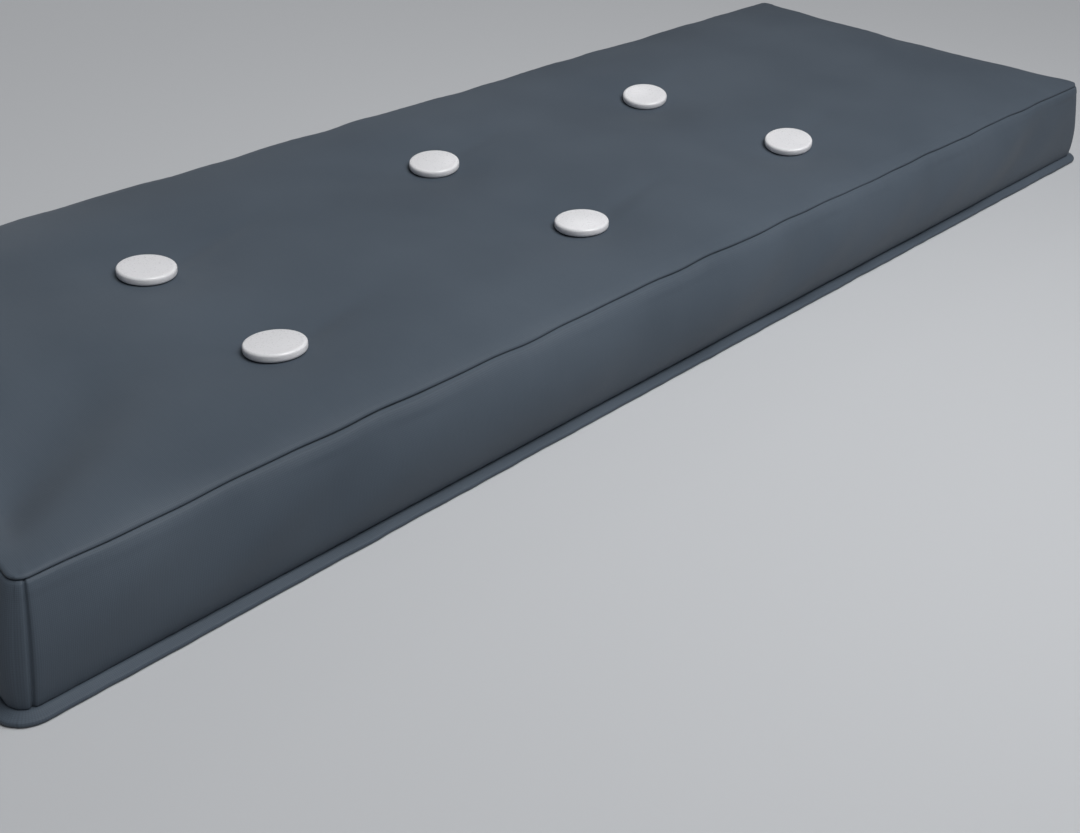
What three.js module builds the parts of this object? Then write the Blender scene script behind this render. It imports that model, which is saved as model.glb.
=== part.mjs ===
// A foam-filled bench cushion lying on its underside, in millimetres with +Z up.
// The origin is the middle of the underside, +X runs along the length and -Y is the front edge.
// The top panel and the upright boxing meet in a sunken seam, the boxing's lower edge is sewn into
// a raised flange that runs all round, and the buttons draw the filled top down into dimples.
import * as THREE from "three";

// Size of the top panel along its seam, and the seam's height above the underside. A corner's arc is
// cut at these shares of its radius.
const PANEL_LENGTH = 1050;
const PANEL_DEPTH = 350;
const SEAM_HEIGHT = 74;
const CORNER_RADIUS = 9;
const CORNER_CUTS = [0.5, 0.85, 1];

// The underside is longer than the buttoned panel, so the boxing leans outwards as it goes down.
const END_FLARE = 8;
const SIDE_FLARE = 1;

// The filling lifts the panel above its seam. A quick roll over the edge comes first, then a slow rise.
const CROWN = 9;
const CROWN_RUN = 75;
const ROLL_RUN = 14;
const ROLL_SHARE = 0.3;
const RISE_POWER = 2.2;

// The cover is slack at the front left corner, where a broad trough runs in towards the first button:
// its middle, the degrees that it is turned from the length, its half length, half width and depth.
const SLACK_TROUGH = { x: -468, y: -98, turn: 36, run: 82, width: 28, depth: 7 };

// The stretched cover draws the edges in, most in the middle of each side.
const END_DRAW_IN = 12;
const SIDE_DRAW_IN = 1.5;
const DRAW_IN_REACH = 5;

// The seam between panel and boxing is a groove, and so is the upright seam beside each corner.
const GROOVE_WIDTH = 2.4;
const GROOVE_DEPTH = 1.6;
const CORNER_SEAM_DEPTH = 1.4;

// The boxing swells outwards, most halfway down, and rolls under above the flange. Two powers shape the
// swell, one of the share of the way down and one of the share left. The upright seams hold it back,
// so near a corner only a share of the swell is left.
const BOXING_SWELL = 11;
const SWELL_RISE = 0.62;
const SWELL_FALL = 0.6;
const CORNER_SWELL_SHARE = 0.3;
const SWELL_FADE_POWER = 4;
const BOXING_ROWS = 8;
const TUCK_HEIGHT = 6.2;
const TUCK_OFFSET = 3;

// The flange is a folded strip of the cover cloth: a round lip at the foot, then a slope up to the tuck.
const FLANGE_HEIGHT = 5.6;
const FLANGE_REACH = 10.4;
const FLANGE_INNER = -1;
const FLANGE_SHOULDER = 5;
const LIP_RADIUS = 2.4;
const LIP_TURN = 140;
const LIP_STEPS = 4;
const FIT_GAP = 0.3;

// The buttons, and the dimple each one sits in. A button is a flat disc whose rim turns on two quarter
// circles, with a low dome on its face that starts inside the rim.
const BUTTON_RADIUS = 18.5;
const BUTTON_THICKNESS = 5.4;
const RIM_RADIUS = 1.7;
const DOME_RADIUS = 15.2;
const DOME_HEIGHT = 0.6;
const BUTTON_SEGMENTS = 32;
const RIM_STEPS = 3;
const DOME_STEPS = 3;
const DIMPLE_FLOOR = 75;
const DIMPLE_FLOOR_RADIUS = 24;
const DIMPLE_RUN = 32;
const DIMPLE_POWER = 1.4;

// Where the buttons are pulled through, in two rows of three, and the degrees by which each one
// leans towards the left end and towards the front on its thread.
const BUTTONS = [
  { name: "button_back_left", x: -313, y: 45, leanLeft: -2, leanFront: 1 },
  { name: "button_back_middle", x: -58, y: 58, leanLeft: 5, leanFront: 2 },
  { name: "button_back_right", x: 181, y: 54, leanLeft: 8, leanFront: 5 },
  { name: "button_front_left", x: -315, y: -87, leanLeft: -1, leanFront: -5 },
  { name: "button_front_middle", x: -57, y: -88, leanLeft: 2, leanFront: -2 },
  { name: "button_front_right", x: 184, y: -91, leanLeft: 9, leanFront: 3 },
];

// Widths of the surface's cells: narrow at the buttons, wider away from them.
const CELL_NARROW = 9;
const CELL_WIDE = 24;
const CELL_GROWTH = 0.14;
const FLANGE_CELL = 44;

const COVER_CLOTH = new THREE.MeshStandardMaterial({ color: 0x4b535d, roughness: 0.82, metalness: 0 });
const BUTTON_PLASTIC = new THREE.MeshStandardMaterial({ color: 0xd8d8da, roughness: 0.3, metalness: 0 });

// How far through a rise that starts steep and ends level, at 0 to 1 of the way along it.
function easeOut(share) {
  return 1 - (1 - Math.min(1, Math.max(0, share))) ** RISE_POWER;
}

// Lines that cut one axis into cells. Their width grows with the distance to the nearest centre, so a
// fine running sum of cells says where each line falls. The lines near each end turn the corner's arc.
function gridLines(half, centres, narrow, wide) {
  const inner = half - CORNER_RADIUS;
  const cellAt = (x) => {
    const away = Math.min(...centres.map((centre) => Math.abs(x - centre)));
    return Math.min(wide, narrow + CELL_GROWTH * away);
  };
  const samples = 2000;
  const step = (2 * inner) / samples;
  const cellsUpTo = [0];
  for (let k = 0; k < samples; k += 1) {
    cellsUpTo.push(cellsUpTo[k] + step / cellAt(-inner + (k + 0.5) * step));
  }
  const count = Math.round(cellsUpTo[samples]);
  const lines = [];
  let k = 0;
  for (let n = 0; n <= count; n += 1) {
    const wanted = (cellsUpTo[samples] * n) / count;
    while (k < samples && cellsUpTo[k + 1] < wanted) k += 1;
    lines.push(n === count ? inner : -inner + k * step);
  }
  const arcLines = CORNER_CUTS.map((share) => inner + share * CORNER_RADIUS);
  return [...arcLines.map((x) => -x).reverse(), ...lines, ...arcLines];
}

// Puts a point of the plain rectangle onto the cushion's plan: the corners turn on an arc, the border
// moves out by offset, the middle of each side is drawn in, and the flare grows by how far down it is.
function planPoint(x, y, offset, down) {
  const cornerX = PANEL_LENGTH / 2 - CORNER_RADIUS;
  const cornerY = PANEL_DEPTH / 2 - CORNER_RADIUS;
  const overX = Math.max(0, (Math.abs(x) - cornerX) / CORNER_RADIUS);
  const overY = Math.max(0, (Math.abs(y) - cornerY) / CORNER_RADIUS);
  const reach = CORNER_RADIUS + offset;
  const farX = Math.min(Math.abs(x), cornerX) + reach * overX * Math.sqrt(1 - overY ** 2 / 2);
  const farY = Math.min(Math.abs(y), cornerY) + reach * overY * Math.sqrt(1 - overX ** 2 / 2);
  const alongX = Math.min(1, farX / (PANEL_LENGTH / 2));
  const alongY = Math.min(1, farY / (PANEL_DEPTH / 2));
  const drawX = END_DRAW_IN * (1 - alongY ** 2) * alongX ** DRAW_IN_REACH;
  const drawY = SIDE_DRAW_IN * (1 - alongX ** 2) * alongY ** DRAW_IN_REACH;
  const flareX = END_FLARE * down * alongX;
  const flareY = SIDE_FLARE * down * alongY;
  return [Math.sign(x) * (farX - drawX + flareX), Math.sign(y) * (farY - drawY + flareY)];
}

// How high the flat floor under a button is: a plane square to the leaning button.
function floorHeight(button, x, y) {
  const slopeX = Math.tan(THREE.MathUtils.degToRad(button.leanLeft));
  const slopeY = Math.tan(THREE.MathUtils.degToRad(button.leanFront));
  return DIMPLE_FLOOR + slopeX * (x - button.x) + slopeY * (y - button.y);
}

// How deep the slack trough is at a point: a bell of the distances along and across it.
function troughDepth(x, y) {
  const turn = THREE.MathUtils.degToRad(SLACK_TROUGH.turn);
  const [overX, overY] = [x - SLACK_TROUGH.x, y - SLACK_TROUGH.y];
  const along = (overX * Math.cos(turn) + overY * Math.sin(turn)) / SLACK_TROUGH.run;
  const across = (overY * Math.cos(turn) - overX * Math.sin(turn)) / SLACK_TROUGH.width;
  return SLACK_TROUGH.depth * Math.exp(-(along ** 2) - across ** 2);
}

// Height of the panel: the seam's height, plus the crown less the trough, drawn down to a flat floor
// at each button.
function panelHeight(x, y) {
  const rise = (inwards) =>
    (1 - ROLL_SHARE) * easeOut(inwards / CROWN_RUN) + ROLL_SHARE * easeOut(inwards / ROLL_RUN);
  const risen = rise(PANEL_LENGTH / 2 - Math.abs(x)) * rise(PANEL_DEPTH / 2 - Math.abs(y));
  let height = SEAM_HEIGHT + (CROWN - troughDepth(x, y)) * risen;
  for (const button of BUTTONS) {
    const out = Math.max(0, Math.hypot(x - button.x, y - button.y) - DIMPLE_FLOOR_RADIUS);
    const held = Math.exp(-((out / DIMPLE_RUN) ** DIMPLE_POWER));
    height += (floorHeight(button, x, y) - height) * held;
  }
  return height;
}

// The border of a grid as points in order, anticlockwise seen from above, from the front left corner.
function borderPoints(xLines, yLines) {
  const lastX = xLines.length - 1;
  const lastY = yLines.length - 1;
  const front = xLines.slice(0, lastX).map((x, i) => ({ x, y: yLines[0], i, j: 0 }));
  const right = yLines.slice(0, lastY).map((y, j) => ({ x: xLines[lastX], y, i: lastX, j }));
  const back = xLines.slice(1).map((x, i) => ({ x, y: yLines[lastY], i: i + 1, j: lastY })).reverse();
  const left = yLines.slice(1).map((y, j) => ({ x: xLines[0], y, i: 0, j: j + 1 })).reverse();
  return [...front, ...right, ...back, ...left];
}

// The wall below the panel's edge, row by row: its offset outwards, the swell that comes on top, its
// height, and how far the upright seams are sunk. It has the seam groove, the swelling boxing, the
// ledge above the flange, and the straight wall that the flange is sewn round.
function boxingProfile() {
  const top = SEAM_HEIGHT - GROOVE_WIDTH;
  const swellAt = (down) => down ** SWELL_RISE * (1 - down) ** SWELL_FALL;
  const fullest = swellAt(SWELL_RISE / (SWELL_RISE + SWELL_FALL));
  const rows = [{ offset: -GROOVE_DEPTH, swell: 0, z: SEAM_HEIGHT - GROOVE_WIDTH / 2, sunk: 0 }];
  for (let row = 0; row <= BOXING_ROWS; row += 1) {
    const down = row / BOXING_ROWS;
    rows.push({
      offset: TUCK_OFFSET * down,
      swell: (BOXING_SWELL * swellAt(down)) / fullest,
      z: top + (TUCK_HEIGHT - top) * down,
      sunk: CORNER_SEAM_DEPTH,
    });
  }
  const wall = FLANGE_INNER - FIT_GAP;
  rows.push({ offset: wall, swell: 0, z: FLANGE_HEIGHT + FIT_GAP, sunk: 0 });
  rows.push({ offset: wall, swell: 0, z: 0, sunk: 0 });
  return rows;
}

// How far down from the seam a height lies: 0 at the seam, 1 at the flange's top and below.
function shareDown(z) {
  return Math.min(1, Math.max(0, (SEAM_HEIGHT - z) / (SEAM_HEIGHT - FLANGE_HEIGHT)));
}

function meshFrom(name, material, positions, indices) {
  const geometry = new THREE.BufferGeometry();
  geometry.setAttribute("position", new THREE.Float32BufferAttribute(positions, 3));
  geometry.setIndex(indices);
  geometry.computeVertexNormals();
  const mesh = new THREE.Mesh(geometry, material);
  mesh.name = name;
  return mesh;
}

// The filled cover: one closed solid of crowned panel, boxing and level underside.
function makeCushion() {
  const xLines = gridLines(PANEL_LENGTH / 2, BUTTONS.map((b) => b.x), CELL_NARROW, CELL_WIDE);
  const yLines = gridLines(PANEL_DEPTH / 2, BUTTONS.map((b) => b.y), CELL_NARROW, CELL_WIDE);
  const positions = [];
  const indices = [];
  for (const y of yLines) {
    for (const x of xLines) {
      positions.push(...planPoint(x, y, 0, 0), panelHeight(x, y));
    }
  }
  const columns = xLines.length;
  for (let j = 0; j + 1 < yLines.length; j += 1) {
    for (let i = 0; i + 1 < columns; i += 1) {
      const near = j * columns + i;
      const far = near + columns;
      indices.push(near, near + 1, far + 1, near, far + 1, far);
    }
  }

  // The upright seam lies where the front or back face starts to turn into the corner.
  const border = borderPoints(xLines, yLines);
  const seamX = Math.abs(xLines[2]);
  const onCornerSeam = (point) => Math.abs(point.y) === PANEL_DEPTH / 2 && Math.abs(point.x) === seamX;
  let above = border.map((point) => point.j * columns + point.i);
  for (const row of boxingProfile()) {
    const below = border.map((point) => {
      const alongSide = Math.min(Math.abs(2 * point.x) / PANEL_LENGTH, Math.abs(2 * point.y) / PANEL_DEPTH);
      const swell = row.swell * (1 - (1 - CORNER_SWELL_SHARE) * alongSide ** SWELL_FADE_POWER);
      const offset = row.offset + swell - (onCornerSeam(point) ? row.sunk : 0);
      positions.push(...planPoint(point.x, point.y, offset, shareDown(row.z)), row.z);
      return positions.length / 3 - 1;
    });
    for (let n = 0; n < border.length; n += 1) {
      const next = (n + 1) % border.length;
      indices.push(above[n], below[n], below[next], above[n], below[next], above[next]);
    }
    above = below;
  }

  const outline = above.map((v) => new THREE.Vector2(positions[3 * v], positions[3 * v + 1]));
  for (const [a, b, c] of THREE.ShapeUtils.triangulateShape(outline, [])) {
    indices.push(above[a], above[c], above[b]);
  }
  return meshFrom("cushion", COVER_CLOTH, positions, indices);
}

// The flange: one strip of cloth round the foot of the boxing, its section a flat-footed round lip.
function makeFlange() {
  const section = [{ offset: FLANGE_INNER, z: 0 }];
  for (let step = 0; step <= LIP_STEPS; step += 1) {
    const turn = THREE.MathUtils.degToRad(-90 + (LIP_TURN * step) / LIP_STEPS);
    section.push({
      offset: FLANGE_REACH - LIP_RADIUS + LIP_RADIUS * Math.cos(turn),
      z: LIP_RADIUS + LIP_RADIUS * Math.sin(turn),
    });
  }
  section.push({ offset: FLANGE_SHOULDER, z: FLANGE_HEIGHT - FIT_GAP });
  section.push({ offset: FLANGE_INNER, z: FLANGE_HEIGHT });
  const xLines = gridLines(PANEL_LENGTH / 2, [0], FLANGE_CELL, FLANGE_CELL);
  const yLines = gridLines(PANEL_DEPTH / 2, [0], FLANGE_CELL, FLANGE_CELL);
  const border = borderPoints(xLines, yLines);
  const positions = [];
  const indices = [];
  border.forEach((point, n) => {
    const next = (n + 1) % border.length;
    section.forEach((corner, m) => {
      const after = (m + 1) % section.length;
      positions.push(...planPoint(point.x, point.y, corner.offset, 1), corner.z);
      const here = n * section.length;
      const there = next * section.length;
      indices.push(here + m, there + m, there + after, here + m, there + after, here + after);
    });
  });
  return meshFrom("bottom_flange", COVER_CLOTH, positions, indices);
}

// A moulded button: a flat back, a rounded rim and a face with a low dome, leaning with its floor.
function makeButton(button) {
  const profile = [new THREE.Vector2(0, 0)];
  const middles = [RIM_RADIUS, BUTTON_THICKNESS - RIM_RADIUS];
  middles.forEach((middle, arc) => {
    for (let step = 0; step <= RIM_STEPS; step += 1) {
      const turn = (Math.PI / 2) * (step / RIM_STEPS - 1 + arc);
      const radius = BUTTON_RADIUS - RIM_RADIUS + RIM_RADIUS * Math.cos(turn);
      profile.push(new THREE.Vector2(radius, middle + RIM_RADIUS * Math.sin(turn)));
    }
  });
  for (let step = 0; step <= DOME_STEPS; step += 1) {
    const outwards = 1 - step / DOME_STEPS;
    const height = BUTTON_THICKNESS + DOME_HEIGHT * (1 - outwards ** 2);
    profile.push(new THREE.Vector2(DOME_RADIUS * outwards, height));
  }
  const geometry = new THREE.LatheGeometry(profile, BUTTON_SEGMENTS);
  geometry.rotateX(Math.PI / 2);
  const mesh = new THREE.Mesh(geometry, BUTTON_PLASTIC);
  mesh.name = button.name;
  const slopeX = floorHeight(button, button.x + 1, button.y) - DIMPLE_FLOOR;
  const slopeY = floorHeight(button, button.x, button.y + 1) - DIMPLE_FLOOR;
  const outwards = new THREE.Vector3(-slopeX, -slopeY, 1).normalize();
  mesh.quaternion.setFromUnitVectors(new THREE.Vector3(0, 0, 1), outwards);
  mesh.position.set(button.x, button.y, DIMPLE_FLOOR).addScaledVector(outwards, FIT_GAP);
  return mesh;
}

const benchCushion = new THREE.Group();
benchCushion.add(makeCushion());
benchCushion.add(makeFlange());
for (const button of BUTTONS) {
  benchCushion.add(makeButton(button));
}

export default benchCushion;
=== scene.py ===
import bpy
import numpy as np
from mathutils import Matrix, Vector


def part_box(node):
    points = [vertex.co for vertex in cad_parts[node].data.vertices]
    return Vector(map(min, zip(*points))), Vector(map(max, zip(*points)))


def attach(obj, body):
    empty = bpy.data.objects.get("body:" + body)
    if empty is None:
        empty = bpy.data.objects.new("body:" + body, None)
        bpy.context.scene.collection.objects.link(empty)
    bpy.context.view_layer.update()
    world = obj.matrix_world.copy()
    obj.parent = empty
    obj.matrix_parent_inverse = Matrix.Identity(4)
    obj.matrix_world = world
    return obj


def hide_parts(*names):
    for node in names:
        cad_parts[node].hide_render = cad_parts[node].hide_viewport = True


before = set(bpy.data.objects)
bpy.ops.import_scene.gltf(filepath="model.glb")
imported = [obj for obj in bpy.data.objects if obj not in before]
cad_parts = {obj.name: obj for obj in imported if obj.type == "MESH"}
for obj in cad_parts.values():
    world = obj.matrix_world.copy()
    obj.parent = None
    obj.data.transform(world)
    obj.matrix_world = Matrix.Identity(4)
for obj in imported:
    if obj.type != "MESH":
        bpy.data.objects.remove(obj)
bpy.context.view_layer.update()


# The filled cover.
# A foam block in a sewn cover of woven polyester: a top panel and an upright boxing, joined inside out
# and turned, so that their seam sinks between them. Six buttons draw the top down into dimples.

PANEL_LENGTH = 1.050
PANEL_DEPTH = 0.350
SEAM_HEIGHT = 0.074
CORNER_RADIUS = 0.009
END_FLARE = 0.008
SIDE_FLARE = 0.001

CROWN_RUN = 0.075
ROLL_RUN = 0.014
ROLL_SHARE = 0.3
RISE_POWER = 2.2

# The cover is slack at the front left corner, where a broad trough runs in towards the first button:
# its middle in plan, the degrees that it is turned from the length, and its half length, half width
# and depth.
SLACK_TROUGH = dict(x=-0.489, y=-0.100, turn=31, run=0.090, width=0.037, depth=0.0136)

END_DRAW_IN = 0.012
SIDE_DRAW_IN = 0.0015
DRAW_IN_POWER = 5

SWELL_RISE = 0.7
SWELL_FALL = 0.8
CORNER_SWELL_SHARE = 0.3
SWELL_FADE_POWER = 4

# The boxing ends in a tuck just above the flange, and turns in there to the flange's root.
FLANGE_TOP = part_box("bottom_flange")[1].z
TUCK_GAP = 0.0004
TUCK_HEIGHT = FLANGE_TOP + TUCK_GAP
TUCK_OFFSET = 0.0040
ROOT_GAP = 0.0003
ROOT_OFFSET = -0.0013

# Where each button is pulled down, and the degrees by which it leans to the left end and to the front.
BUTTON_LEANS = {
    "button_back_left": dict(to_left=-2, to_front=1),
    "button_back_middle": dict(to_left=5, to_front=2),
    "button_back_right": dict(to_left=8, to_front=5),
    "button_front_left": dict(to_left=-1, to_front=-5),
    "button_front_middle": dict(to_left=2, to_front=-2),
    "button_front_right": dict(to_left=9, to_front=3),
}
BUTTON_THICKNESS = 0.0054
BUTTON_GAP = 0.0003
DIMPLE_FLOOR = 0.075
DIMPLE_FLOOR_RADIUS = 0.0192
DIMPLE_RUN = 0.034
DIMPLE_POWER = 1.4


def button_axis(name):
    """The way a button's thread pulls: the normal of a plane that slopes by the tangents of its leans."""
    lean = BUTTON_LEANS[name]
    slope_x, slope_y = np.tan(np.radians([lean["to_left"], lean["to_front"]]))
    axis = np.array([-slope_x, -slope_y, 1.0])
    return axis / np.linalg.norm(axis)


def button_seat(name):
    """Where a button's axis meets its dimple's floor. The rim is alike above and below, so the middle of
    the button's box in plan lies on the axis, half its thickness and the gap above the floor."""
    low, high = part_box(name)
    middle = (np.array(low) + np.array(high)) / 2
    foot = middle - (BUTTON_GAP + BUTTON_THICKNESS / 2) * button_axis(name)
    return np.array([foot[0], foot[1], DIMPLE_FLOOR])


SEATS = {name: (button_seat(name), button_axis(name)) for name in BUTTON_LEANS}


def plan(x, y, offset=0.0, down=0.0):
    """A point of the plain rectangle on the cushion's rounded and drawn-in outline.

    Inside a corner's radius the unit square becomes a quarter disc, u sqrt(1 - v²/2) by v sqrt(1 - u²/2),
    times the radius plus offset. The middle of each side is drawn in by (1 - place²), and the lower
    edge flares out in proportion to down, which is 0 at the seam and 1 at the flange."""
    corner_x = PANEL_LENGTH / 2 - CORNER_RADIUS
    corner_y = PANEL_DEPTH / 2 - CORNER_RADIUS
    over_x = np.clip((abs(x) - corner_x) / CORNER_RADIUS, 0, 1)
    over_y = np.clip((abs(y) - corner_y) / CORNER_RADIUS, 0, 1)
    reach = CORNER_RADIUS + offset
    far_x = np.minimum(abs(x), corner_x) + reach * over_x * np.sqrt(1 - over_y ** 2 / 2)
    far_y = np.minimum(abs(y), corner_y) + reach * over_y * np.sqrt(1 - over_x ** 2 / 2)
    along_x = np.minimum(1, far_x / (PANEL_LENGTH / 2))
    along_y = np.minimum(1, far_y / (PANEL_DEPTH / 2))
    draw_x = END_DRAW_IN * (1 - along_y ** 2) * along_x ** DRAW_IN_POWER
    draw_y = SIDE_DRAW_IN * (1 - along_x ** 2) * along_y ** DRAW_IN_POWER
    flare_x = END_FLARE * down * along_x
    flare_y = SIDE_FLARE * down * along_y
    return np.sign(x) * (far_x - draw_x + flare_x), np.sign(y) * (far_y - draw_y + flare_y)


def rise(inwards):
    """Share of the crown at a distance inwards from the seam: a quick roll over the edge and a slow rise,
    each 1 - (1 - share of its run)^power."""
    slow = 1 - (1 - np.clip(inwards / CROWN_RUN, 0, 1)) ** RISE_POWER
    quick = 1 - (1 - np.clip(inwards / ROLL_RUN, 0, 1)) ** RISE_POWER
    return (1 - ROLL_SHARE) * slow + ROLL_SHARE * quick


def trough_depth(x, y, trough):
    """How deep a trough is: its depth times exp(-(distance along it / run)² - (across it / width)²)."""
    turn = np.radians(trough["turn"])
    along = ((x - trough["x"]) * np.cos(turn) + (y - trough["y"]) * np.sin(turn)) / trough["run"]
    across = ((y - trough["y"]) * np.cos(turn) - (x - trough["x"]) * np.sin(turn)) / trough["width"]
    return trough["depth"] * np.exp(-(along ** 2) - across ** 2)


def panel_height(x, y, crown):
    """Height of the top: the seam, plus the crown less the slack trough times the shares risen from
    both sides, drawn to a plane square to each button by exp(-(distance past the floor / run)^power)."""
    risen = rise(PANEL_LENGTH / 2 - abs(x)) * rise(PANEL_DEPTH / 2 - abs(y))
    height = SEAM_HEIGHT + (crown - trough_depth(x, y, SLACK_TROUGH)) * risen
    for seat, axis in SEATS.values():
        floor = seat[2] - ((x - seat[0]) * axis[0] + (y - seat[1]) * axis[1]) / axis[2]
        past = np.maximum(0, np.hypot(x - seat[0], y - seat[1]) - DIMPLE_FLOOR_RADIUS)
        drawn = np.exp(-((past / DIMPLE_RUN) ** DIMPLE_POWER))
        height = height + (floor - height) * drawn
    return height


def swell_shape(down):
    """The boxing's swell from the seam to the tuck, before it is scaled: down^rise (1 - down)^fall."""
    return down ** SWELL_RISE * (1 - down) ** SWELL_FALL


def boxing_offset(x, y, down, swell):
    """How far the boxing stands out from the seam: a straight lean to the tuck, plus a swell that the
    upright corner seams hold back. It is fullest where down is rise / (rise + fall)."""
    along_side = np.minimum(abs(2 * x) / PANEL_LENGTH, abs(2 * y) / PANEL_DEPTH)
    held_back = 1 - (1 - CORNER_SWELL_SHARE) * along_side ** SWELL_FADE_POWER
    fullest = swell_shape(SWELL_RISE / (SWELL_RISE + SWELL_FALL))
    return TUCK_OFFSET * down + swell * swell_shape(down) / fullest * held_back


COUNTING_STEPS = 40000


def lines_across(half, cell_width):
    """Lines across one axis, as far apart as cell_width(x) says. The running count of cells, the sum of
    step / width, is turned round and read at whole numbers."""
    x = np.linspace(-half, half, COUNTING_STEPS + 1)
    count = np.concatenate([[0], np.cumsum(np.diff(x) / cell_width((x[1:] + x[:-1]) / 2))])
    whole = np.linspace(0, count[-1], int(round(count[-1])) + 1)
    lines = np.interp(whole, count, x)
    return (lines - lines[::-1]) / 2


def border(columns, rows):
    """Indices of a grid's border points, anticlockwise from its front left corner."""
    index = np.arange(rows * columns).reshape(rows, columns)
    return np.concatenate([index[0, :-1], index[:-1, -1], index[-1, :0:-1], index[:0:-1, 0]])


def grid_faces(columns, rows):
    """Four corners of each cell of a grid, anticlockwise."""
    near = (np.arange(rows - 1)[:, None] * columns + np.arange(columns - 1)).ravel()
    return np.stack([near, near + 1, near + columns + 1, near + columns], 1)


def wall_faces(rings):
    """Faces between rings of points, each ring a row of indices, from the top ring to the bottom one."""
    upper, lower = rings[:-1], rings[1:]
    corners = [upper, lower, np.roll(lower, -1, 1), np.roll(upper, -1, 1)]
    return np.stack([corner.ravel() for corner in corners], 1)


def way_round(ring_x, ring_y):
    """Distance along the plain rectangle's border from its front left corner to each point of a ring."""
    return np.concatenate([[0], np.cumsum(abs(np.diff(ring_x)) + abs(np.diff(ring_y)))])


def smooth_piece(name, points, faces):
    """An object at the origin, unturned, with a smooth mesh of these points and faces."""
    mesh = bpy.data.meshes.new(name)
    mesh.from_pydata(points.tolist(), [], faces)
    mesh.polygons.foreach_set("use_smooth", np.ones(len(faces), bool))
    piece = bpy.data.objects.new(name, mesh)
    bpy.context.scene.collection.objects.link(piece)
    return piece


# The filling. The cover is first cut a little flatter than it ends up, on cells of a few millimetres,
# and air pressure in Blender's cloth swells it between its seams and buttons, which are held.
SIM_CELL = 0.0075
SIM_ROWS = 9
SIM_CROWN = 0.0076
SIM_SWELL = 0.0120
SIM_PRESSURE = 0.8
SIM_BENDING = 8.0
SIM_QUALITY = 6
SIM_FRAMES = 20
SIM_CAP = 0.004
SHORTEST_SHIFT = 1e-9
FOAM_EASINGS = 2


def filled_out(points, faces, held):
    """Where cloth of these points and faces goes under pressure, with the held points fixed: how far
    each point moves, its length eased below the cap as cap tanh(length / cap)."""
    bag = smooth_piece("filling", points, faces.tolist())
    pins = bag.vertex_groups.new(name="held")
    pins.add(np.flatnonzero(held).tolist(), 1.0, "REPLACE")
    cloth = bag.modifiers.new("cloth", "CLOTH")
    cloth.settings.quality = SIM_QUALITY
    cloth.settings.vertex_group_mass = "held"
    cloth.settings.use_pressure = True
    cloth.settings.uniform_pressure_force = SIM_PRESSURE
    cloth.settings.bending_stiffness = SIM_BENDING
    cloth.settings.effector_weights.gravity = 0
    for number in range(1, SIM_FRAMES + 1):
        bpy.context.scene.frame_set(number)
    result = bag.evaluated_get(bpy.context.evaluated_depsgraph_get()).data
    moved = np.empty(len(points) * 3, np.float32)
    result.vertices.foreach_get("co", moved)
    bpy.context.scene.frame_set(1)
    mesh = bag.data
    bpy.data.objects.remove(bag)
    bpy.data.meshes.remove(mesh)
    shift = moved.reshape(-1, 3) - points
    length = np.linalg.norm(shift, axis=1, keepdims=True)
    return shift * SIM_CAP * np.tanh(length / SIM_CAP) / np.maximum(length, SHORTEST_SHIFT)


def eased(shift, wrapped):
    """Foam backs the cloth and fills out its narrow folds: each value becomes half itself and a quarter
    of each neighbour, along both axes of the grid. Where wrapped, the second axis has no ends."""
    for _ in range(FOAM_EASINGS):
        rows = np.pad(shift, ((1, 1), (0, 0), (0, 0)), mode="edge")
        shift = (rows[:-2] + 2 * rows[1:-1] + rows[2:]) / 4
        columns = np.pad(shift, ((0, 0), (1, 1), (0, 0)), mode="wrap" if wrapped else "edge")
        shift = (columns[:, :-2] + 2 * columns[:, 1:-1] + columns[:, 2:]) / 4
    return shift


sim_x = lines_across(PANEL_LENGTH / 2, lambda x: np.full_like(x, SIM_CELL))
sim_y = lines_across(PANEL_DEPTH / 2, lambda y: np.full_like(y, SIM_CELL))
grid_x, grid_y = np.meshgrid(sim_x, sim_y)
panel = np.stack([*plan(grid_x, grid_y), panel_height(grid_x, grid_y, SIM_CROWN)], -1).reshape(-1, 3)

sim_ring = border(len(sim_x), len(sim_y))
ring_x, ring_y = grid_x.ravel()[sim_ring], grid_y.ravel()[sim_ring]
sim_down = np.linspace(0, 1, SIM_ROWS + 1)
down = sim_down[1:, None]
wall_x, wall_y = plan(ring_x, ring_y, boxing_offset(ring_x, ring_y, down, SIM_SWELL), down)
wall_z = np.broadcast_to(SEAM_HEIGHT + (TUCK_HEIGHT - SEAM_HEIGHT) * down, wall_x.shape)
wall = np.stack([wall_x, wall_y, wall_z], -1).reshape(-1, 3)

sim_panel = np.arange(len(panel)).reshape(len(sim_y), len(sim_x))
sim_wall = np.vstack([sim_ring, len(panel) + np.arange(len(wall)).reshape(SIM_ROWS, -1)])
sim_points = np.vstack([panel, wall])
sim_faces = np.vstack([grid_faces(len(sim_x), len(sim_y)), wall_faces(sim_wall)])

held = np.zeros(len(sim_points), bool)
held[sim_wall[[0, -1]]] = True
for seat, axis in SEATS.values():
    under_button = np.hypot(panel[:, 0] - seat[0], panel[:, 1] - seat[1]) < DIMPLE_FLOOR_RADIUS
    held[: len(panel)] |= under_button
shift = filled_out(sim_points, sim_faces, held)
free = np.where(held, 0.0, 1.0)[:, None]
panel_shift = eased(shift[sim_panel], wrapped=False) * free[sim_panel]
wall_shift = eased(shift[sim_wall], wrapped=True) * free[sim_wall]


# The finished surface. Fine cells at the seams and buttons carry the swollen shape, and on top of it
# the rolled edges of the seams, the ridge of the seam allowance, puckers and drag lines.
FINE_CELL = 0.0038
SEAM_CELL = 0.00022
BUTTON_CELL = 0.0022
CORNER_SEAM_CELL = 0.0004
CELL_GROWTH = 0.13
BUTTON_CELL_GROWTH = 0.05
ROW_CELL = 0.0034
SEAM_ROW_CELL = 0.00028
ROW_CELL_GROWTH = 0.22

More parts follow.
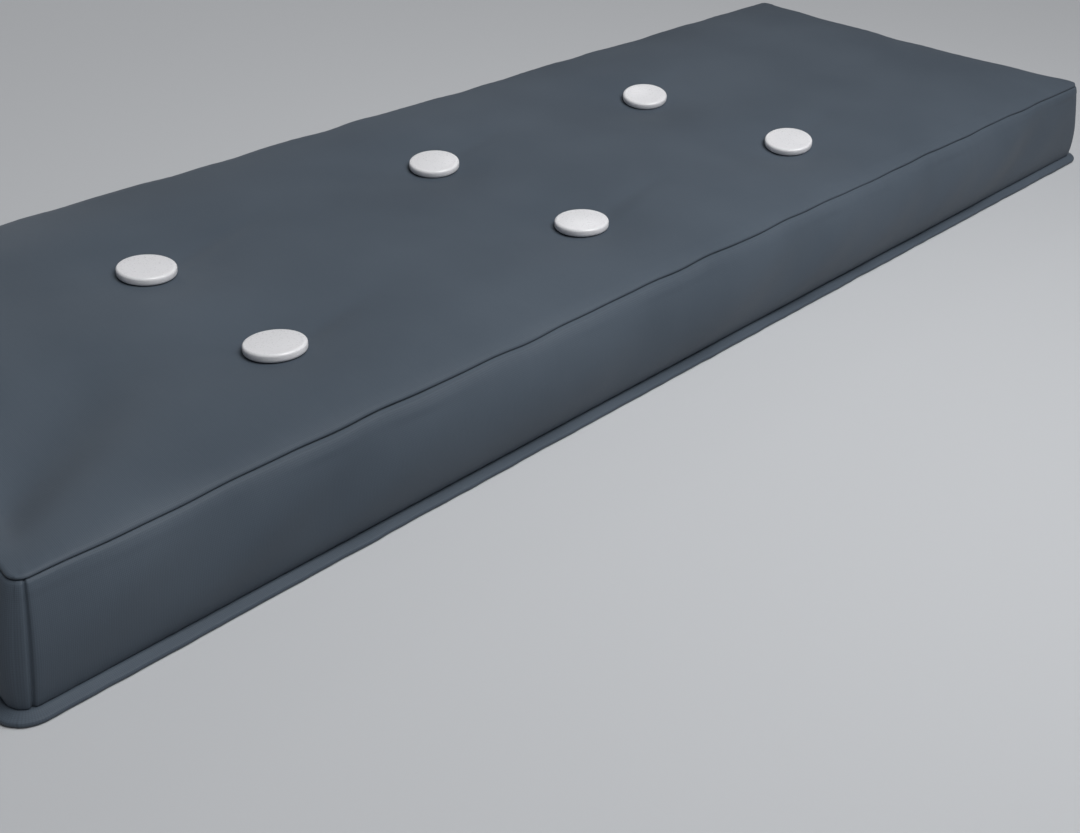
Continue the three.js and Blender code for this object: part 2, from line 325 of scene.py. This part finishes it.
SEAM_DROP = 0.0014
SEAM_ROLL = 0.0022
SEAM_DEPTH = 0.0017
SEAM_GAP = 0.0006
BOXING_ROLL = 0.0018
BOXING_TOP = SEAM_HEIGHT - SEAM_DROP - SEAM_GAP
BOXING_HEIGHT = BOXING_TOP - TUCK_HEIGHT
CORNER_SEAM = PANEL_LENGTH / 2 - CORNER_RADIUS / 2
CORNER_SEAM_DEPTH = 0.0017
CORNER_SEAM_WIDTH = 0.0009
ALLOWANCE_WIDTH = 0.006
ALLOWANCE_STEP = 0.0015
ALLOWANCE_LIFT = 0.0005
ALLOWANCE_EVEN_SHARE = 0.65

# What wavers: how much, the shortest and the longest of the waves that add up to it, and its seed.
SEAM_WAVER = dict(size=0.00045, shortest=0.05, longest=0.35, seed=12)
FILLING_WAVER = dict(size=0.0012, shortest=0.08, longest=0.5, seed=9)
ALLOWANCE_WAVER = dict(size=1 - ALLOWANCE_EVEN_SHARE, shortest=0.05, longest=0.30, seed=5)
PANEL_PUCKERS = dict(size=0.00010, shortest=0.007, longest=0.018, seed=3)
UPPER_PUCKERS = dict(size=0.00010, shortest=0.007, longest=0.018, seed=4)
LOWER_PUCKERS = dict(size=0.00010, shortest=0.007, longest=0.018, seed=6)
WAVES = 9
WAVE_LENGTH_SPREAD = 0.1
SEAM_WAVER_REACH = 0.012
FILLING_SLANT = 1.2
PUCKER_REACH = 0.007
CLOSING_REACH = 0.04

# Soft troughs in the top, as the slack one is, which fade out towards the seam. The first is the short
# fold at the slack corner, and the others are drag lines beside the buttons.
DRAG_FADE = 0.012
DRAG_LINES = [
    dict(x=-0.512, y=-0.121, turn=50, run=0.040, width=0.021, depth=0.0064),
    dict(x=-0.275, y=0.050, turn=8, run=0.045, width=0.0095, depth=0.0016),
    dict(x=-0.278, y=-0.083, turn=8, run=0.045, width=0.0095, depth=0.0014),
    dict(x=-0.018, y=-0.084, turn=8, run=0.045, width=0.0095, depth=0.0016),
    dict(x=-0.018, y=0.063, turn=8, run=0.040, width=0.0095, depth=0.0012),
    dict(x=0.222, y=0.060, turn=8, run=0.040, width=0.0095, depth=0.0010),
    dict(x=0.226, y=-0.086, turn=8, run=0.040, width=0.0095, depth=0.0010),
]


def waver(way, wave):
    """An uneven wave along a way: sines of seeded phases, added up and scaled to about the wave's size.
    Their lengths are spread by equal ratios from shortest to longest, each then a little off."""
    draw = np.random.default_rng(wave["seed"])
    off = draw.uniform(1 - WAVE_LENGTH_SPREAD, 1 + WAVE_LENGTH_SPREAD, WAVES)
    lengths = np.geomspace(wave["shortest"], wave["longest"], WAVES) * off
    phases = draw.uniform(0, 2 * np.pi, WAVES)
    sines = np.sin(2 * np.pi * way[..., None] / lengths + phases)
    return wave["size"] * (sines.sum(-1) * np.sqrt(2 / WAVES))


def away_from_start(along):
    """Near 1, but falling to 0 at the front left corner, where the way round closes on itself:
    1 - exp(-(distance to that corner / reach)²)."""
    nearest = np.minimum(along, 2 * (PANEL_LENGTH + PANEL_DEPTH) - along)
    return 1 - np.exp(-((nearest / CLOSING_REACH) ** 2))


def seam_wander(along):
    """How far the seam was sewn above or below its line, at a distance along it."""
    return waver(along, SEAM_WAVER) * away_from_start(along)


def arc_in(share):
    """A quarter circle's shortfall: 1 where share is 0, falling with a level end to 0 where it is 1."""
    return 1 - np.sqrt(1 - (1 - np.clip(share, 0, 1)) ** 2)


def way_to_border(x, y):
    """Distance along the border, from the front left corner, of the border point nearest to each point
    of the top: the front runs to the right, the right end back, the back to the left, the left end on."""
    from_left, from_front = PANEL_LENGTH / 2 + x, PANEL_DEPTH / 2 + y
    sides = np.stack([from_front, PANEL_LENGTH - from_left, PANEL_DEPTH - from_front, from_left])
    ways = np.stack([
        from_left,
        PANEL_LENGTH + from_front,
        2 * PANEL_LENGTH + PANEL_DEPTH - from_left,
        2 * (PANEL_LENGTH + PANEL_DEPTH) - from_front,
    ])
    return np.take_along_axis(ways, sides.argmin(0)[None], 0)[0]


def panel_details(x, y):
    """What the finished top adds to its height: the drag lines, faded by 1 - exp(-(distance / fade)²),
    puckers and the seam's wander, which fade by exp(-distance / reach), and the edge that rolls down
    into the seam as a quarter circle."""
    inwards = np.minimum(PANEL_LENGTH / 2 - abs(x), PANEL_DEPTH / 2 - abs(y))
    along = way_to_border(x, y)
    added = np.zeros_like(x)
    for drag in DRAG_LINES:
        added -= trough_depth(x, y, drag) * (1 - np.exp(-((inwards / DRAG_FADE) ** 2)))
    fade = np.exp(-inwards / PUCKER_REACH) * (1 - np.exp(-inwards / SEAM_ROLL))
    added += waver(along, PANEL_PUCKERS) * fade
    added += seam_wander(along) * np.exp(-inwards / SEAM_WAVER_REACH)
    return added - SEAM_DROP * arc_in(inwards / SEAM_ROLL)


def boxing_details(x, below, along):
    """What the finished boxing adds outwards: the roll out of the seam as a quarter circle, uneven
    filling that goes with sin(pi down), the allowance ridge under the seam, which ends in a smooth step
    3 share² - 2 share³, puckers at both seams, and the sunk upright seams, exp(-(distance / width)²)."""
    roll = arc_in(below / BOXING_ROLL)
    filling = waver(along + FILLING_SLANT * below, FILLING_WAVER) * away_from_start(along)
    past = np.clip((below - ALLOWANCE_WIDTH) / ALLOWANCE_STEP, 0, 1)
    strength = ALLOWANCE_EVEN_SHARE + waver(along, ALLOWANCE_WAVER)
    ridge = ALLOWANCE_LIFT * strength * (1 - past ** 2 * (3 - 2 * past)) * (1 - roll)
    from_tuck = SEAM_HEIGHT - TUCK_HEIGHT - below
    upper = waver(along, UPPER_PUCKERS) * np.exp(-below / PUCKER_REACH)
    lower = waver(along, LOWER_PUCKERS) * np.exp(-from_tuck / PUCKER_REACH)
    sunk = CORNER_SEAM_DEPTH * np.exp(-(((abs(x) - CORNER_SEAM) / CORNER_SEAM_WIDTH) ** 2))
    added = -SEAM_DEPTH * roll + filling * np.sin(np.pi * below / BOXING_HEIGHT)
    return added + ridge + upper + lower - sunk


def fine_width(half, marks):
    """Width of the fine cells at x: the least of a wide cell and of narrow ones at the seam and at each
    mark, which grow with the distance from it."""

    def width(x):
        narrow = [np.full_like(x, FINE_CELL), SEAM_CELL + CELL_GROWTH * (half - abs(x))]
        narrow += [mark["cell"] + mark["growth"] * abs(x - mark["at"]) for mark in marks]
        return np.minimum.reduce(narrow)

    return width


def row_width(z):
    """Height of the boxing's rows at z from its middle: narrow at both seams, growing to a wide one."""
    return np.minimum(ROW_CELL, SEAM_ROW_CELL + ROW_CELL_GROWTH * (BOXING_HEIGHT / 2 - abs(z)))


def spline_through(knots, at):
    """Matrix that takes values at the knots to other places along a natural cubic spline. Between gaps
    g0 and g1 its bends b solve g0 b0 + 2 (g0 + g1) b1 + g1 b2 = 6 (slope1 - slope0)."""
    count = len(knots)
    gap = np.diff(knots)
    inner = np.arange(1, count - 1)
    bends = np.eye(count)
    bends[inner, inner - 1] = gap[:-1]
    bends[inner, inner] = 2 * (gap[:-1] + gap[1:])
    bends[inner, inner + 1] = gap[1:]
    slopes = np.zeros((count, count))
    slopes[inner, inner - 1] = 6 / gap[:-1]
    slopes[inner, inner] = -6 / gap[:-1] - 6 / gap[1:]
    slopes[inner, inner + 1] = 6 / gap[1:]
    bend = np.linalg.solve(bends, slopes)
    cell = np.clip(np.searchsorted(knots, at, side="right") - 1, 0, count - 2)
    right = (at - knots[cell]) / gap[cell]
    left = 1 - right
    place = np.arange(len(at))
    weights = np.zeros((len(at), count))
    weights[place, cell] = left
    weights[place, cell + 1] = right
    weights += ((left ** 3 - left) * gap[cell] ** 2 / 6)[:, None] * bend[cell]
    weights += ((right ** 3 - right) * gap[cell] ** 2 / 6)[:, None] * bend[cell + 1]
    return weights


def carried(shift, down_matrix, along_matrix):
    """A coarse grid's shifts on a finer grid: one spline matrix down its rows, and one along them."""
    return np.einsum("ja,abk,ib->jik", down_matrix, shift, along_matrix)


# The top, with the displacement of the filling carried onto its finer lines.
corner_seam = dict(cell=CORNER_SEAM_CELL, growth=CELL_GROWTH)
button_place = dict(cell=BUTTON_CELL, growth=BUTTON_CELL_GROWTH)
marks_x = [dict(corner_seam, at=-CORNER_SEAM), dict(corner_seam, at=CORNER_SEAM)]
marks_x += [dict(button_place, at=seat[0]) for seat, axis in SEATS.values()]
marks_y = [dict(button_place, at=seat[1]) for seat, axis in SEATS.values()]
lines_x = lines_across(PANEL_LENGTH / 2, fine_width(PANEL_LENGTH / 2, marks_x))
lines_y = lines_across(PANEL_DEPTH / 2, fine_width(PANEL_DEPTH / 2, marks_y))
fine_x, fine_y = np.meshgrid(lines_x, lines_y)
swollen_top = carried(panel_shift, spline_through(sim_y, lines_y), spline_through(sim_x, lines_x))
top = np.stack([*plan(fine_x, fine_y), panel_height(fine_x, fine_y, SIM_CROWN)], -1) + swollen_top
top[..., 2] += panel_details(fine_x, fine_y)

# The boxing, from the bottom of the seam down to the tuck. The knots of its filling run on past the
# corner where the way round starts.
WRAPPED_KNOTS = 12
fine_ring = border(len(lines_x), len(lines_y))
round_x, round_y = fine_x.ravel()[fine_ring], fine_y.ravel()[fine_ring]
along_ring = way_round(round_x, round_y)
length_round = along_ring[-1] + abs(round_y[-1] - round_y[0])
row_z = lines_across(BOXING_HEIGHT / 2, row_width)[::-1] + (BOXING_TOP + TUCK_HEIGHT) / 2
below = (BOXING_TOP - row_z)[:, None]
row_down = below / BOXING_HEIGHT

sim_along = way_round(ring_x, ring_y)
before = sim_along[-WRAPPED_KNOTS:] - length_round
beyond = sim_along[:WRAPPED_KNOTS] + length_round
carry_round = spline_through(np.concatenate([before, sim_along, beyond]), along_ring)
carry_down = spline_through(sim_down, row_down[:, 0])
wrapped_shift = [wall_shift[:, -WRAPPED_KNOTS:], wall_shift, wall_shift[:, :WRAPPED_KNOTS]]
swollen_side = carried(np.concatenate(wrapped_shift, 1), carry_down, carry_round)

offset = boxing_offset(round_x, round_y, row_down, SIM_SWELL)
offset = offset + boxing_details(round_x, below, along_ring)
side_x, side_y = plan(round_x, round_y, offset, row_down)
side_z = row_z[:, None] + seam_wander(along_ring) * (1 - row_down) ** 2
side = np.stack([side_x, side_y, side_z], -1) + swollen_side

# Behind the flange the cover goes straight down, and its underside is one level face.
root_x, root_y = plan(round_x, round_y, ROOT_OFFSET, 1.0)
foot = [np.stack([root_x, root_y, np.full_like(root_x, z)], -1) for z in (FLANGE_TOP + ROOT_GAP, 0.0)]

cover_points = np.vstack([top.reshape(-1, 3), side.reshape(-1, 3), *foot])
wall_points = np.arange(fine_x.size, len(cover_points)).reshape(-1, len(fine_ring))
panel_quads = grid_faces(len(lines_x), len(lines_y))
wall_quads = wall_faces(np.vstack([fine_ring, wall_points]))
underside = wall_points[-1][::-1]


def wall_runs(along, heights):
    """Thread runs of a wall's face corners, in the order of wall_faces: the distance along and the
    height. along has one value more than a ring has points, because a wall ends where it began."""
    run = np.stack(np.meshgrid(along, heights), -1)
    return np.stack([run[:-1, :-1], run[1:, :-1], run[1:, 1:], run[:-1, 1:]], 2).reshape(-1, 2)


def lay_threads(piece, runs):
    """Keeps the thread runs of a piece's face corners, in metres, in its UV map."""
    piece.data.uv_layers.new(name="thread_runs").data.foreach_set("uv", runs.astype(np.float32).ravel())


ring_ends = np.append(along_ring, length_round)
ring_heights = np.concatenate([[SEAM_HEIGHT], row_z, [FLANGE_TOP, 0.0]])
panel_runs = np.stack([fine_x, fine_y], -1).reshape(-1, 2)[panel_quads].reshape(-1, 2)
boxing_runs = wall_runs(ring_ends, ring_heights)
cover_runs = np.concatenate([panel_runs, boxing_runs, cover_points[underside][:, :2]])
cover_faces = [*panel_quads.tolist(), *wall_quads.tolist(), underside.tolist()]
cover = smooth_piece("filled_cover", cover_points, cover_faces)
lay_threads(cover, cover_runs)


def linear(hex_colour):
    """An sRGB hex colour as linear light: ((c + 0.055) / 1.055)^2.4, or c / 12.92 when dark."""
    channel = np.array([int(hex_colour[first:first + 2], 16) / 255 for first in (1, 3, 5)])
    light = np.where(channel > 0.04045, ((channel + 0.055) / 1.055) ** 2.4, channel / 12.92)
    return (*light, 1.0)


def node(tree, kind, inputs, **settings):
    """Adds a shader node with its settings. Each of its inputs, by name or number, takes a value, or a
    link from an output, which for a whole node is its first one."""
    made = tree.nodes.new("ShaderNode" + kind)
    for key, value in settings.items():
        setattr(made, key, value)
    for key, value in inputs.items():
        if isinstance(value, bpy.types.Node):
            value = value.outputs[0]
        if isinstance(value, bpy.types.NodeSocket):
            tree.links.new(value, made.inputs[key])
        else:
            made.inputs[key].default_value = value
    return made


def new_material(name, finish):
    """A material whose shader's own sockets take the constant values of its finish."""
    material = bpy.data.materials.new(name)
    material.use_nodes = True
    for socket, value in finish.items():
        material.node_tree.nodes["Principled BSDF"].inputs[socket].default_value = value
    return material


# Plain-woven solution-dyed polyester, calendered: smooth, matt and slate blue, with a faint sheen where
# it turns away. Its threads are 0.45 mm apart, too fine for the render, so they are drawn 0.9 mm apart.
CLOTH_DARK = "#414b56"
CLOTH_LIGHT = "#505a65"
CLOTH_FINISH = {
    "Roughness": 0.62,
    "Specular IOR Level": 0.25,
    "Sheen Weight": 0.03,
    "Sheen Roughness": 0.5,
    "IOR": 1.5,
}
THREAD_SPACING = 0.0009
THREAD_ROUNDNESS = 0.5
THREAD_DIP = 0.35
THREAD_RELIEF = 0.00012
RELIEF_STRENGTH = 0.25
# How much painted shade darkens the cloth's colour in the gaps between its threads.
GAP_PAINTED_SHADE = 0.35
SLUB_LENGTH = 0.02
SLUB_SHARE = 0.12
HANDLING_PATCH = 0.12
DARKEST_SHADE = 0.2
LIGHTEST_SHADE = 0.8


def woven_polyester():
    """Plain weave: each thread's height is |sin(pi across)|^roundness, times a sine of its run, so that
    it goes over one thread and under the next, and the higher of warp and weft shows. Slubs along the
    threads and broad patches from handling vary its tone, and painted shade darkens the gaps between
    threads, where the thread height is low."""
    material = new_material("woven_polyester", CLOTH_FINISH)
    tree = material.node_tree
    shader = tree.nodes["Principled BSDF"]
    runs = node(tree, "UVMap", {}, uv_map="thread_runs")
    split = node(tree, "SeparateXYZ", {0: runs})
    across = node(tree, "Math", {0: split.outputs[0], 1: THREAD_SPACING}, operation="DIVIDE")
    down = node(tree, "Math", {0: split.outputs[1], 1: THREAD_SPACING}, operation="DIVIDE")
    next_across = node(tree, "Math", {0: across, 1: 1.0}, operation="ADD")

    def thread(place, run):
        half_turns = node(tree, "Math", {0: place, 1: np.pi}, operation="MULTIPLY")
        side = node(tree, "Math", {0: half_turns}, operation="SINE")
        arched = node(tree, "Math", {0: side}, operation="ABSOLUTE")
        rounded = node(tree, "Math", {0: arched, 1: THREAD_ROUNDNESS}, operation="POWER")
        number = node(tree, "Math", {0: place}, operation="FLOOR")
        shifted = node(tree, "Math", {0: run, 1: number}, operation="ADD")
        turn = node(tree, "Math", {0: shifted, 1: np.pi}, operation="MULTIPLY")
        wave = node(tree, "Math", {0: turn}, operation="SINE")
        over = node(tree, "Math", {0: wave, 1: THREAD_DIP, 2: 1 - THREAD_DIP}, operation="MULTIPLY_ADD")
        return node(tree, "Math", {0: rounded, 1: over}, operation="MULTIPLY")

    warp = thread(across, down)
    weft = thread(down, next_across)
    height = node(tree, "Math", {0: warp, 1: weft}, operation="MAXIMUM")

    slubs = node(tree, "Mapping", {"Vector": runs, "Scale": (1 / THREAD_SPACING, 1 / SLUB_LENGTH, 1.0)})
    slub = node(tree, "TexNoise", {"Vector": slubs, "Scale": 1.0, "Detail": 2.0}, noise_dimensions="2D")
    place = node(tree, "TexCoord", {}).outputs["Object"]
    patch = node(tree, "TexNoise", {"Vector": place, "Scale": 1 / HANDLING_PATCH, "Detail": 3.0})
    slub_shade = node(tree, "Math", {0: slub, 1: SLUB_SHARE}, operation="MULTIPLY")
    shade = node(tree, "Math", {0: patch, 1: 1 - SLUB_SHARE, 2: slub_shade}, operation="MULTIPLY_ADD")
    ramp = node(tree, "ValToRGB", {0: shade})
    dark, light = ramp.color_ramp.elements
    dark.position = DARKEST_SHADE
    dark.color = linear(CLOTH_DARK)
    light.position = LIGHTEST_SHADE
    light.color = linear(CLOTH_LIGHT)
    # Painted shade: the colour is multiplied down where the thread height is low, in the gaps between
    # threads.
    painted_gap_shade = {0: GAP_PAINTED_SHADE, 6: ramp, 7: height}
    colour = node(tree, "Mix", painted_gap_shade, data_type="RGBA", blend_type="MULTIPLY")
    bump = node(tree, "Bump", {"Height": height, "Strength": RELIEF_STRENGTH, "Distance": THREAD_RELIEF})
    tree.links.new(colour.outputs[2], shader.inputs["Base Color"])
    tree.links.new(bump.outputs[0], shader.inputs["Normal"])
    return material


cover_cloth = woven_polyester()
cover.data.materials.append(cover_cloth)
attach(cover, "root")
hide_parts("cushion")


# The bottom flange.
# A strip of the cover cloth, folded over the seam allowance and sewn in between boxing and base, so
# that it stands out round the foot as a soft wedge with a rounded lip.

FLANGE_REACH = 0.0104
FLANGE_INNER = -0.001
FLANGE_SHOULDER = 0.005
SHOULDER_DROP = 0.0003
LIP_RADIUS = 0.0019
LIP_TURN = 140
LIP_STEPS = 12
SLOPE_STEPS = 7
SLOPE_HOLLOW = 0.0001
LIP_WAVER = dict(size=0.00015, shortest=0.018, longest=0.120, seed=8)


def flange_section():
    """Offsets and heights round the strip, from the inner edge of its level foot: an arc about the lip's
    middle, a slope that sinks by hollow sin(pi share), and a short top that rises to the inner edge."""
    turn = np.radians(np.linspace(-90, LIP_TURN - 90, LIP_STEPS + 1))
    lip_offset = FLANGE_REACH - LIP_RADIUS + LIP_RADIUS * np.cos(turn)
    lip_height = LIP_RADIUS + LIP_RADIUS * np.sin(turn)
    share = np.linspace(0, 1, SLOPE_STEPS + 1)[1:]
    hollow = SLOPE_HOLLOW * np.sin(np.pi * share)
    slope_offset = lip_offset[-1] + (FLANGE_SHOULDER - lip_offset[-1]) * share - hollow
    slope_height = lip_height[-1] + (FLANGE_TOP - SHOULDER_DROP - lip_height[-1]) * share - hollow
    offsets = np.concatenate([[FLANGE_INNER], lip_offset, slope_offset, [FLANGE_INNER]])
    heights = np.concatenate([[0.0], lip_height, slope_height, [FLANGE_TOP]])
    return offsets, heights


# The section is carried round the cushion's foot, and the lip waves in and out a little.
section_offset, section_height = flange_section()
outness = np.clip((section_offset - FLANGE_SHOULDER) / (FLANGE_REACH - FLANGE_SHOULDER), 0, 1)
strip_offset = section_offset + np.outer(waver(along_ring, LIP_WAVER), outness)
strip_x, strip_y = plan(round_x[:, None], round_y[:, None], strip_offset, 1.0)
strip_z = np.broadcast_to(section_height, strip_x.shape)
strip_points = np.stack([strip_x, strip_y, strip_z], -1).reshape(-1, 3)
sections = np.arange(strip_x.size).reshape(strip_x.shape)
strip_faces = wall_faces(np.vstack([sections, sections[:1]]))[:, ::-1]

# Its threads run along the strip and round the section, which closes up the inner wall. Both the order
# of each face's corners and that of the two runs are turned round.
round_section = np.cumsum(np.hypot(np.diff(section_offset), np.diff(section_height)))
section_ends = np.concatenate([[0], round_section, [round_section[-1] + FLANGE_TOP]])
strip_runs = wall_runs(section_ends, ring_ends).reshape(-1, 4, 2)[:, ::-1, ::-1]
flange = smooth_piece("folded_flange", strip_points, strip_faces.tolist())
lay_threads(flange, strip_runs)
flange.data.materials.append(cover_cloth)
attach(flange, "root")
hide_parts("bottom_flange")


# The buttons.
# Six moulded urea discs with a rounded rim, a fine raised lip and a low dome on the face. Each is pulled
# down by a thread through the filling, and leans with its dimple.

BUTTON_RADIUS = 0.0185
RIM_RADIUS = 0.0017
RIM_STEPS = 8
LIP_WIDTH = 0.0012
LIP_HEIGHT = 0.00015
DOME_RADIUS = 0.0152
DOME_HEIGHT = 0.0006
FACE_STEPS = 20
BACK_STEPS = 3
BUTTON_SEGMENTS = 96


def button_profile():
    """Radius and height of the button's section. The back is flat, the rim turns on two quarter circles,
    and the face adds a lip, height sin(pi share of its width), and a dome, height (1 - share²)."""
    core = BUTTON_RADIUS - RIM_RADIUS
    back = np.linspace(0, core, BACK_STEPS + 1)[1:-1]
    turn = np.linspace(0, np.pi / 2, RIM_STEPS + 1)
    rim = core + RIM_RADIUS * np.sin(turn)
    rim_height = RIM_RADIUS - RIM_RADIUS * np.cos(turn)
    face = np.linspace(core, 0, FACE_STEPS + 1)[1:-1]
    lip = np.sin(np.pi * np.clip((core - face) / LIP_WIDTH, 0, 1))
    dome = 1 - np.clip(face / DOME_RADIUS, 0, 1) ** 2
    face_height = BUTTON_THICKNESS + LIP_HEIGHT * lip + DOME_HEIGHT * dome
    radius = np.concatenate([back, rim, rim[::-1], face])
    upper_rim_height = BUTTON_THICKNESS - rim_height[::-1]
    height = np.concatenate([np.zeros_like(back), rim_height, upper_rim_height, face_height])
    return radius, height


def button_piece(name):
    """The profile turned round the button's axis, and closed at both poles."""
    seat, axis = SEATS[name]
    radius, height = button_profile()
    angle = np.linspace(0, 2 * np.pi, BUTTON_SEGMENTS, endpoint=False)
    side = np.cross([0, 1, 0], axis)
    side /= np.linalg.norm(side)
    out = np.cos(angle)[:, None] * side + np.sin(angle)[:, None] * np.cross(axis, side)
    foot = seat + BUTTON_GAP * axis
    points = foot + height[:, None, None] * axis + radius[:, None, None] * out
    poles = foot + np.array([[0.0], [BUTTON_THICKNESS + DOME_HEIGHT]]) * axis
    rings = np.arange(radius.size * BUTTON_SEGMENTS).reshape(radius.size, -1)
    ahead = np.roll(rings, -1, 1)
    bottom = np.stack([ahead[0], rings[0], np.full(BUTTON_SEGMENTS, rings.size)], 1)
    crown = np.stack([rings[-1], ahead[-1], np.full(BUTTON_SEGMENTS, rings.size + 1)], 1)
    points = np.vstack([points.reshape(-1, 3), poles])
    faces = [*wall_faces(rings)[:, ::-1].tolist(), *bottom.tolist(), *crown.tolist()]
    return smooth_piece(name.replace("button", "moulded_button"), points, faces)


# Moulded urea resin, polished on the face: opaque pale grey with a clear gloss, and a faint haze of
# fine scuffs that blurs the reflections here and there.
BUTTON_COLOUR = "#dfdfe1"
BUTTON_SHADE = "#d9d9dc"
BUTTON_FINISH = {
    "IOR": 1.55,
    "Subsurface Weight": 0.6,
    "Subsurface Radius": (1.0, 1.0, 1.0),
    "Subsurface Scale": 0.006,
}
POLISHED_ROUGHNESS = 0.22
SCUFFED_ROUGHNESS = 0.36
SCUFF_SIZE = 0.0012
DRIFT_SIZE = 1 / 60


def moulded_urea():
    """One colour with a slight drift over centimetres; the scuffs raise the roughness in fine spots."""
    material = new_material("moulded_urea", BUTTON_FINISH)
    tree = material.node_tree
    shader = tree.nodes["Principled BSDF"]
    place = node(tree, "TexCoord", {}).outputs["Object"]
    drift = node(tree, "TexNoise", {"Vector": place, "Scale": 1 / DRIFT_SIZE, "Detail": 2.0})
    shades = {0: drift, 6: linear(BUTTON_COLOUR), 7: linear(BUTTON_SHADE)}
    colour = node(tree, "Mix", shades, data_type="RGBA")
    scuffs = node(tree, "TexNoise", {"Vector": place, "Scale": 1 / SCUFF_SIZE, "Detail": 4.0})
    scuffing = {0: scuffs, "To Min": POLISHED_ROUGHNESS, "To Max": SCUFFED_ROUGHNESS}
    roughness = node(tree, "MapRange", scuffing)
    tree.links.new(colour.outputs[2], shader.inputs["Base Color"])
    tree.links.new(roughness.outputs[0], shader.inputs["Roughness"])
    return material


button_plastic = moulded_urea()
for name in SEATS:
    button = button_piece(name)
    button.data.materials.append(button_plastic)
    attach(button, "root")
    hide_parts(name)


# The studio.
# A pale seamless floor under soft light from high in front, with a window's light from the back right
# and a low fill from behind, and a camera at the photograph's angle.

FLOOR_RADIUS = 40.0
FLOOR_SEGMENTS = 96
FLOOR_FINISH = {"Base Color": linear("#b9bbbe"), "Roughness": 0.95, "Specular IOR Level": 0.1}

angle = np.linspace(0, 2 * np.pi, FLOOR_SEGMENTS, endpoint=False)
floor_points = FLOOR_RADIUS * np.stack([np.cos(angle), np.sin(angle), np.zeros_like(angle)], 1)
floor = smooth_piece("studio_floor", floor_points, [list(range(FLOOR_SEGMENTS))])
floor.data.materials.append(new_material("matt_backdrop_paper", FLOOR_FINISH))

SKY_COLOUR = "#f4f6fa"
SKY_STRENGTH = 0.12
world = bpy.data.worlds.new("studio_air")
world.use_nodes = True
world.node_tree.nodes["Background"].inputs["Color"].default_value = linear(SKY_COLOUR)
world.node_tree.nodes["Background"].inputs["Strength"].default_value = SKY_STRENGTH
bpy.context.scene.world = world
bpy.context.scene.view_settings.view_transform = "Standard"

# Each light: its kind, where it stands from the cushion's middle as degrees to the right of the front
# and degrees up, how far off, its size (metres across, or degrees for a sun), and its strength.
LIGHTS = [
    dict(name="high_key", kind="SUN", right=12, up=66, far=3.0, size=28, strength=1.57),
    dict(name="front_softbox", kind="AREA", right=3, up=58, far=1.0, size=0.8, strength=6.1),
    dict(name="far_window", kind="AREA", right=132, up=32, far=3.2, size=0.5, strength=2.0),
    dict(name="back_fill", kind="AREA", right=168, up=16, far=3.0, size=1.0, strength=4.0),
]


def facing(at, target):
    """A turn whose -Z looks from at to target, with Y as near upright as it can be."""
    back = np.array(at) - np.array(target)
    back = back / np.linalg.norm(back)
    right = np.cross([0, 0, 1], back)
    right = right / np.linalg.norm(right)
    return np.stack([right, np.cross(back, right), back], 1)


def placed(at, turn):
    """The 4 by 4 matrix of a turn and a place."""
    matrix = np.eye(4)
    matrix[:3, :3] = turn
    matrix[:3, 3] = at
    return Matrix(matrix.tolist())


for light in LIGHTS:
    data = bpy.data.lights.new(light["name"], light["kind"])
    data.energy = light["strength"]
    if light["kind"] == "SUN":
        data.angle = np.radians(light["size"])
    else:
        data.shape = "DISK"
        data.size = light["size"]
    right, up = np.radians([light["right"], light["up"]])
    ray = np.array([np.sin(right) * np.cos(up), -np.cos(right) * np.cos(up), np.sin(up)])
    middle = np.array([0, 0, SEAM_HEIGHT])
    at = middle + light["far"] * ray
    lamp = bpy.data.objects.new(light["name"], data)
    lamp.matrix_world = placed(at, facing(at, middle))
    bpy.context.scene.collection.objects.link(lamp)

# The camera was solved from the cushion's straight edges in the photograph, 1080 by 833 pixels.
PHOTO_WIDTH = 1080
FOCAL_PIXELS = 1395
CAMERA_YAW = 47.85
CAMERA_PITCH = 31.46
CAMERA_ROLL = 2.41
CAMERA_AT = (-0.7249, -0.6617, 0.4606)
NEAREST_SEEN = 0.01
FARTHEST_SEEN = 100.0
SENSOR_WIDTH = 36.0


def camera_turn(yaw, pitch, roll):
    """Columns right, up and back of a camera that looks along +Y turned right by yaw, then down by
    pitch, and is then rolled."""
    yaw, pitch, roll = np.radians([yaw, pitch, roll])
    ahead = np.array([np.sin(yaw) * np.cos(pitch), np.cos(yaw) * np.cos(pitch), -np.sin(pitch)])
    right = np.array([np.cos(yaw), -np.sin(yaw), 0.0])
    up = np.cross(right, ahead)
    rolled_right = np.cos(roll) * right + np.sin(roll) * up
    return np.stack([rolled_right, np.cos(roll) * up - np.sin(roll) * right, -ahead], 1)


camera_data = bpy.data.cameras.new("camera")
camera_data.sensor_fit = "HORIZONTAL"
camera_data.sensor_width = SENSOR_WIDTH
camera_data.lens = FOCAL_PIXELS / PHOTO_WIDTH * SENSOR_WIDTH
camera_data.clip_start = NEAREST_SEEN
camera_data.clip_end = FARTHEST_SEEN
camera = bpy.data.objects.new("camera", camera_data)
camera.matrix_world = placed(CAMERA_AT, camera_turn(CAMERA_YAW, CAMERA_PITCH, CAMERA_ROLL))
bpy.context.scene.collection.objects.link(camera)
bpy.context.scene.camera = camera
